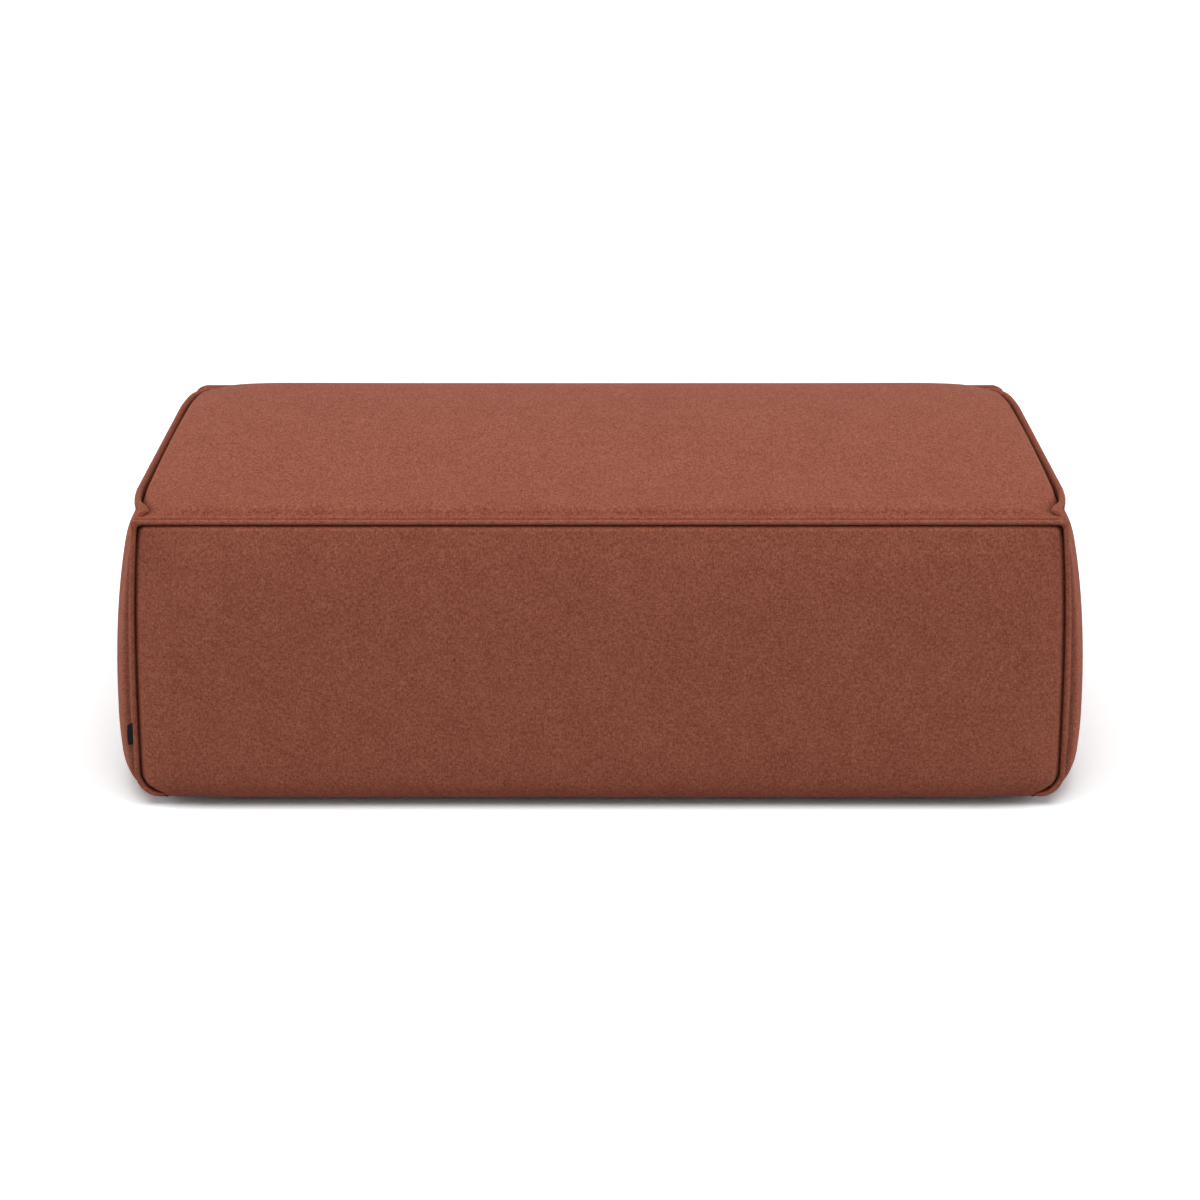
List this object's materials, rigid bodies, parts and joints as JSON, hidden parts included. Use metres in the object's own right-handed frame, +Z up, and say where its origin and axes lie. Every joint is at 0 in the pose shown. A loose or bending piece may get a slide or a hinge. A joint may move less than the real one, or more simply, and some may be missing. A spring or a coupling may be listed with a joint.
{
  "type": "ottoman",
  "caption": "Low rectangular upholstered ottoman with crowned panels, raised flange seams and a rolled lower edge, on low glides.",
  "frame": {"origin": "on the floor, under the middle of the body", "axes": "+X to the right seen from the front, -Y to the front (the long face with the tag's seam at its left), +Z up"},
  "size_m": [1.3188, 0.7476, 0.426],
  "materials": {
    "woven_upholstery": "heathered woven upholstery, brick red, matt",
    "black_tag_ribbon": "black woven ribbon, blank",
    "spunbond_lining": "black spunbond lining",
    "seat_foam": "open-cell foam, matt",
    "fibre_wadding": "polyester fibre wadding",
    "elastic_webbing": "woven elastic webbing",
    "zinc_plated_steel": "zinc plated wire",
    "black_plastic": "moulded, fine texture",
    "hardboard": "smooth hardboard",
    "frame_timber": "planed, unfinished softwood"
  },
  "bodies": {
    "root": {"back_board": "hardboard", "back_bottom_rail": "frame_timber", "back_centre_post": "frame_timber", "back_cover_panel": "woven_upholstery", "back_flange_seam": "woven_upholstery", "back_left_glide": "black_plastic", "back_left_post": "frame_timber", "back_padding": "seat_foam", "back_right_glide": "black_plastic", "back_right_post": "frame_timber", "back_top_rail": "frame_timber", "centre_bottom_rail": "frame_timber", "centre_top_brace": "frame_timber", "dust_cover": "spunbond_lining", "firm_seat_foam": "seat_foam", "frame_staples": "zinc_plated_steel", "front_board": "hardboard", "front_bottom_rail": "frame_timber", "front_centre_post": "frame_timber", "front_cover_panel": "woven_upholstery", "front_flange_seam": "woven_upholstery", "front_left_glide": "black_plastic", "front_left_post": "frame_timber", "front_padding": "seat_foam", "front_right_glide": "black_plastic", "front_right_post": "frame_timber", "front_top_rail": "frame_timber", "glide_nails": "zinc_plated_steel", "left_board": "hardboard", "left_bottom_rail": "frame_timber", "left_cover_panel": "woven_upholstery", "left_flange_seam": "woven_upholstery", "left_padding": "seat_foam", "left_top_rail": "frame_timber", "long_webbing_1": "elastic_webbing", "long_webbing_2": "elastic_webbing", "long_webbing_3": "elastic_webbing", "long_webbing_4": "elastic_webbing", "right_board": "hardboard", "right_bottom_rail": "frame_timber", "right_cover_panel": "woven_upholstery", "right_flange_seam": "woven_upholstery", "right_padding": "seat_foam", "right_top_rail": "frame_timber", "seat_wadding": "fibre_wadding", "short_webbing_1": "elastic_webbing", "short_webbing_2": "elastic_webbing", "short_webbing_3": "elastic_webbing", "short_webbing_4": "elastic_webbing", "short_webbing_5": "elastic_webbing", "short_webbing_6": "elastic_webbing", "short_webbing_7": "elastic_webbing", "short_webbing_8": "elastic_webbing", "side_tag": "black_tag_ribbon", "soft_seat_foam": "seat_foam", "top_cover_panel": "woven_upholstery", "webbing_staples": "zinc_plated_steel"}
  },
  "joints": []
}
